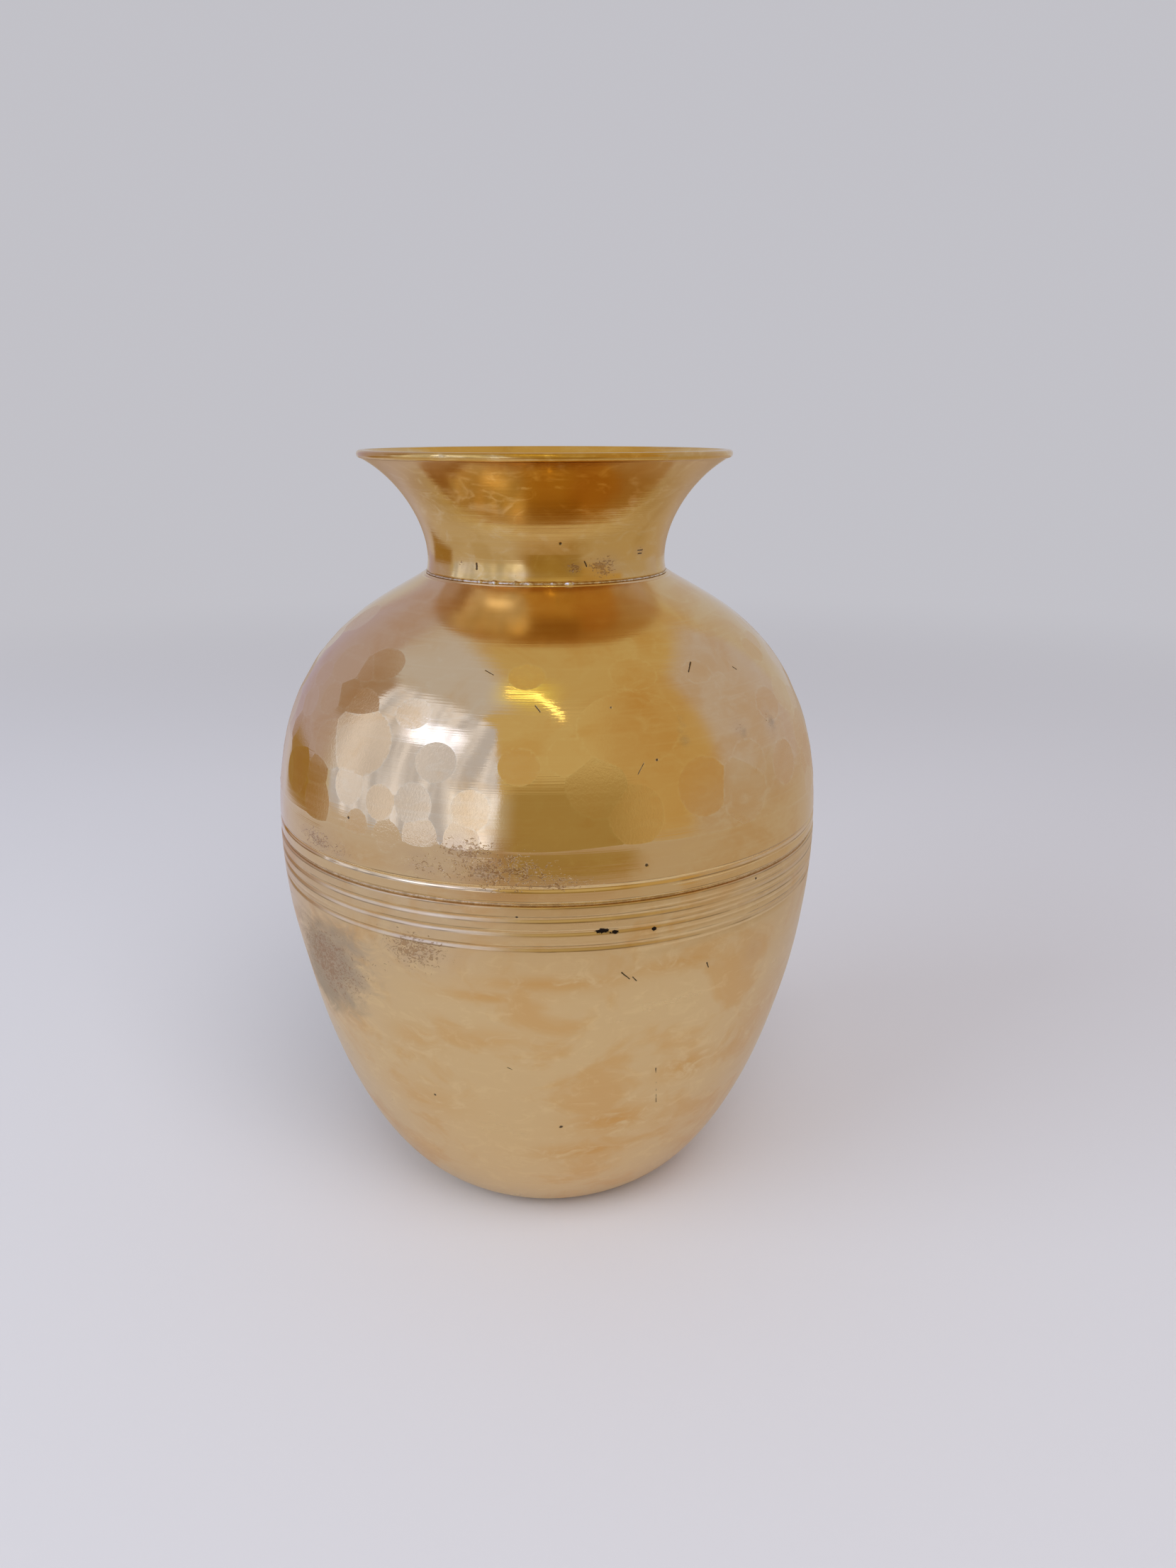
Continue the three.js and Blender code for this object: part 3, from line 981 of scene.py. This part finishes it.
def shoulder_brass():
    return brass_material(Brass(
        "hammered_shoulder_brass", shoulder_outline, (0.82, 0.58, 0.27, 1),
        (0.76, 0.45, 0.15, 1), 0.08, 0.015, 0.30, 0.014, 0.25, SHOULDER_FLAWS,
        (*UPPER_GROOVES, BELLY_HEIGHT)))


def collar_brass():
    # The blush colour here is also the colour of the collar's painted dark reflection band.
    return brass_material(Brass(
        "turned_collar_brass", collar_outline, (0.77, 0.49, 0.15, 1), (0.62, 0.345, 0.065, 1),
        0.15, 0.016, 0.10, 0.004, 0.45, COLLAR_FLAWS, ()))


def braze_material(name, metal, flux):
    """Joining metal, dull where flux has dried on it."""
    nodes = Nodes(name)
    specks = nodes.noise(nodes.stretch(900, 900), detail=3.0, roughness=0.7)
    colour = nodes.mix(nodes.span(specks, 0.40, 0.60), flux, metal)
    shader = nodes.add("ShaderNodeBsdfPrincipled")
    shader.inputs["Metallic"].default_value = 1.0
    nodes.feed(shader.inputs["Base Color"], colour)
    nodes.feed(shader.inputs["Roughness"], nodes.span(specks, 0.3, 0.7, 0.50, 0.22))
    nodes.feed(shader.inputs["Normal"], nodes.bump(specks, 0.04 * MM))
    nodes.feed(nodes.output.inputs["Surface"], shader.outputs[0])
    return nodes.material


# ---------------------------------------------------------------- studio

POT_CENTRE = Vector((0, 0, 0.12))


def flat_mesh(name, corners, faces, material):
    """A plain surface of the studio, which isn't part of the pot."""
    mesh = bpy.data.meshes.new(name)
    mesh.from_pydata(corners, [], faces)
    mesh.materials.append(material)
    surface = bpy.data.objects.new(name, mesh)
    bpy.context.scene.collection.objects.link(surface)
    return surface


def glow_material(name, colour, softness, folds):
    """A glow that may fade towards the edges of its card and hang in folds across it."""
    nodes = Nodes(name)
    place = nodes.add("ShaderNodeTexCoord").outputs["Generated"]
    glow = nodes.add("ShaderNodeEmission")
    glow.inputs["Color"].default_value = (*colour, 1)
    if folds:
        across = nodes.noise(nodes.vector("MULTIPLY", place, (folds, 1.5, 1)), detail=3.0)
        nodes.feed(glow.inputs["Strength"], nodes.span(across, 0.36, 0.64, 0.75, 1.22))
    surface = glow.outputs[0]
    if softness:
        parts = nodes.add("ShaderNodeSeparateXYZ")
        nodes.feed(parts.inputs[0], place)
        share = 1.0
        for axis in (0, 1):
            edge = nodes.math("MULTIPLY", nodes.math("ABSOLUTE", nodes.math(
                "SUBTRACT", parts.outputs[axis], 0.5)), 2.0)
            share = nodes.math("MULTIPLY", share, nodes.span(edge, 1 - softness, 1.0, 1.0, 0.0))
        clear = nodes.add("ShaderNodeBsdfTransparent")
        surface = nodes.blend(share, clear.outputs[0], surface)
    nodes.feed(nodes.output.inputs["Surface"], surface)
    return nodes.material


def away_from_pot(azimuth, elevation):
    """The direction from the pot's centre at an azimuth, where 0 is in front and + is right."""
    a, e = math.radians(azimuth), math.radians(elevation)
    return Vector((math.sin(a) * math.cos(e), -math.cos(a) * math.cos(e), math.sin(e)))


def aim_at_pot(thing, away, distance, turn):
    """Stands a thing off the pot, with its own face or beam towards it."""
    thing.location = POT_CENTRE + away * distance
    thing.rotation_mode = "QUATERNION"
    thing.rotation_quaternion = turn


def hide_but_mirrored(surface):
    """Leaves a studio surface to be seen only in reflections."""
    surface.visible_camera = False
    surface.visible_diffuse = False
    surface.visible_shadow = False


def card(name, azimuth, elevation, width, height, distance, colour, softness, folds=0):
    """A lit card that only reflections see. Its place and size are angles seen from the pot."""
    x, y = (distance * math.tan(math.radians(angle / 2)) for angle in (width, height))
    corners = [(-x, -y, 0), (x, -y, 0), (x, y, 0), (-x, y, 0)]
    glow = glow_material(name, colour, softness, folds)
    panel = flat_mesh(name, corners, [(0, 1, 2, 3)], glow)
    away = away_from_pot(azimuth, elevation)
    aim_at_pot(panel, away, distance, (-away).to_track_quat("Z", "Y"))
    hide_but_mirrored(panel)


# Cards round the pot: azimuth, elevation, width and height in degrees, distance, colour, softness
# of the edges, and where they are needed the folds across the card.
CARDS = (
    ("dark_front_flag", 8, -1, 56, 42, 0.45, (0.38, 0.29, 0.13), 0.35),
    ("bright_strip", -54, 32, 32, 13, 0.80, (1.5, 1.9, 3.9), 0.5, 5),
    ("warm_top_glow", -16, 62, 30, 22, 0.84, (0.82, 0.77, 0.25), 0.9),
    ("low_left_card", -30, 2, 24, 28, 0.86, (1.02, 1.18, 1.95), 0.4, 7),
    ("big_left_card", -60, 20, 82, 56, 0.90, (0.72, 0.84, 1.45), 0.06, 22),
    ("low_brown_card", -116, -6, 38, 15, 0.50, (0.34, 0.22, 0.07), 0.3),
    ("brown_side_card", -104, 30, 22, 30, 0.92, (0.38, 0.31, 0.33), 0.3),
    ("warm_front_card", 5, 34, 70, 50, 1.00, (0.58, 0.50, 0.31), 0.3),
    ("low_right_card", 84, -4, 60, 24, 0.96, (0.50, 0.47, 0.52), 0.4),
    ("warm_right_card", 50, 22, 56, 90, 1.00, (0.53, 0.41, 0.22), 0.3),
    ("cool_right_card", 100, 14, 70, 84, 1.05, (0.52, 0.52, 0.70), 0.3),
    ("cool_left_card", -128, 16, 60, 84, 1.05, (0.46, 0.42, 0.58), 0.3),
    ("high_left_card", -78, 56, 76, 40, 1.05, (0.54, 0.59, 0.88), 0.5),
    ("top_card", 0, 90, 100, 100, 1.10, (0.55, 0.46, 0.27), 0.2),
)


def make_cards():
    for measures in CARDS:
        card(*measures)


LAMP_BENDS = ((-31, 61.4), (-9, 61.8), (8.5, 49))
LAMP_DISTANCE = 0.78
LAMP_HALF_WIDTH = 0.0045


def make_lamp_tubes():
    """A bright strip lamp with a bend in it, which only reflections see."""
    material = glow_material("lamp_tube", (6.0, 5.6, 2.4), 0.0, 0)
    ends = [away_from_pot(*bend) * LAMP_DISTANCE for bend in LAMP_BENDS]
    for number, (start, end) in enumerate(zip(ends, ends[1:]), start=1):
        side = (end - start).cross(start).normalized() * LAMP_HALF_WIDTH
        corners = [POT_CENTRE + corner for corner in (start - side, start + side,
                                                      end + side, end - side)]
        hide_but_mirrored(flat_mesh(f"lamp_tube_{number}", corners, [(0, 1, 2, 3)], material))


FLOOR_COLOUR = (0.80, 0.785, 0.81, 1)
BACKDROP_COLOUR = (0.54, 0.535, 0.575)
BACKDROP_RADIUS, BACKDROP_HEIGHT = 1.7, 2.6
SWEEP_START, SWEEP_END = 0.40, 1.25
FAR_FLOOR_START, FAR_FLOOR_FULL, FAR_FLOOR_END = 0.18, 0.27, 1.6
RING_SIDES = 96


def ring_band(name, start, end, material):
    """A band round the pot's axis between two rings, each given as a radius and a height."""
    corners = []
    for reach, height in (start, end):
        for side in range(RING_SIDES):
            turn = 2 * math.pi * side / RING_SIDES
            corners.append((reach * math.sin(turn), -reach * math.cos(turn), height))
    faces = []
    for side in range(RING_SIDES):
        after = (side + 1) % RING_SIDES
        faces.append((side, after, RING_SIDES + after, RING_SIDES + side))
    return flat_mesh(name, corners, faces, material)


def make_far_floor():
    """The darker part of the floor away from the pot, which only reflections see."""
    nodes = Nodes("far_floor")
    flat = nodes.vector("MULTIPLY", nodes.place, (1, 1, 0))
    radius = nodes.vector("LENGTH", flat)
    parts = nodes.add("ShaderNodeSeparateXYZ")
    nodes.feed(parts.inputs[0], flat)
    rightward = nodes.math("DIVIDE", parts.outputs[0], radius)
    colour = nodes.mix(nodes.span(radius, 0.22, 0.60), (0.51, 0.43, 0.40, 1), (0.41, 0.32, 0.24, 1))
    colour = nodes.mix(nodes.span(rightward, -0.25, -0.65), colour, (0.56, 0.55, 0.68, 1))
    colour = nodes.mix(nodes.span(rightward, 0.25, 0.65), colour, (0.50, 0.45, 0.43, 1))
    glow = nodes.add("ShaderNodeEmission")
    nodes.feed(glow.inputs["Color"], colour)
    clear = nodes.add("ShaderNodeBsdfTransparent")
    share = nodes.span(radius, FAR_FLOOR_START, FAR_FLOOR_FULL)
    surface = nodes.blend(share, clear.outputs[0], glow.outputs[0])
    nodes.feed(nodes.output.inputs["Surface"], surface)
    hide_but_mirrored(ring_band("far_floor", (FAR_FLOOR_START, MM), (FAR_FLOOR_END, MM),
                                nodes.material))


def make_floor():
    """A plain pale floor that passes into the backdrop's tone away from the pot."""
    nodes = Nodes("plain_floor")
    shader = nodes.add("ShaderNodeBsdfPrincipled")
    shader.inputs["Base Color"].default_value = FLOOR_COLOUR
    shader.inputs["Roughness"].default_value = 0.85
    shader.inputs["Specular IOR Level"].default_value = 0.2
    glow = nodes.add("ShaderNodeEmission")
    glow.inputs["Color"].default_value = (*BACKDROP_COLOUR, 1)
    radius = nodes.vector("LENGTH", nodes.vector("MULTIPLY", nodes.place, (1, 1, 0)))
    share = nodes.span(radius, SWEEP_START, SWEEP_END)
    nodes.feed(nodes.output.inputs["Surface"],
               nodes.blend(share, shader.outputs[0], glow.outputs[0]))
    reach = BACKDROP_RADIUS
    corners = [(-reach, -reach, 0), (reach, -reach, 0), (reach, reach, 0), (-reach, reach, 0)]
    flat_mesh("floor", corners, [(0, 1, 2, 3)], nodes.material)


def make_backdrop():
    """One plain pale backdrop that runs all the way round."""
    backdrop = ring_band("backdrop", (BACKDROP_RADIUS, 0), (BACKDROP_RADIUS, BACKDROP_HEIGHT),
                         glow_material("plain_backdrop", BACKDROP_COLOUR, 0.0, 0))
    backdrop.visible_diffuse = False
    backdrop.visible_shadow = False


def soft_light(name, azimuth, elevation, distance, size, power, colour):
    """A large square lamp aimed at the pot, which reflections don't see."""
    lamp = bpy.data.lights.new(name, "AREA")
    lamp.size = size
    lamp.energy = power
    lamp.color = colour
    light = bpy.data.objects.new(name, lamp)
    away = away_from_pot(azimuth, elevation)
    aim_at_pot(light, away, distance, away.to_track_quat("Z", "Y"))
    light.visible_camera = False
    light.visible_glossy = False
    bpy.context.scene.collection.objects.link(light)


def make_lights():
    """A cool soft light on the left, a broad one high in front and an even pale sky."""
    soft_light("window_light", -62, 22, 1.7, 1.2, 14.0, (0.74, 0.87, 1.0))
    soft_light("front_light", 18, 50, 1.9, 1.3, 17.0, (1.0, 0.97, 0.98))
    world = bpy.data.worlds.new("soft_studio")
    world.use_nodes = True
    sky = world.node_tree.nodes["Background"]
    sky.inputs["Color"].default_value = (0.36, 0.355, 0.38, 1)
    sky.inputs["Strength"].default_value = 1.0
    bpy.context.scene.world = world


def make_camera():
    """The eye stands in front of the pot, a little above its rim, and looks down."""
    lens = bpy.data.cameras.new("camera")
    lens.sensor_width = 36
    lens.lens = 27.02
    lens.clip_start = 0.01
    eye = bpy.data.objects.new("camera", lens)
    eye.location = (0, -0.3149, 0.2056)
    eye.rotation_euler = (math.radians(90 - 16.91), 0, math.radians(-1.99))
    bpy.context.scene.collection.objects.link(eye)
    bpy.context.scene.camera = eye


def main():
    bpy.context.scene.view_settings.view_transform = "Standard"
    make_camera()
    make_bowl(bowl_brass())
    make_shoulder(shoulder_brass())
    make_collar(collar_brass())
    make_belly_braze(braze_material("brass_braze", (0.70, 0.49, 0.24, 1), (0.54, 0.36, 0.16, 1)))
    make_neck_braze(braze_material("dull_solder", (0.84, 0.74, 0.56, 1), (0.58, 0.41, 0.18, 1)))
    make_floor()
    make_backdrop()
    make_far_floor()
    make_cards()
    make_lamp_tubes()
    make_lights()


main()
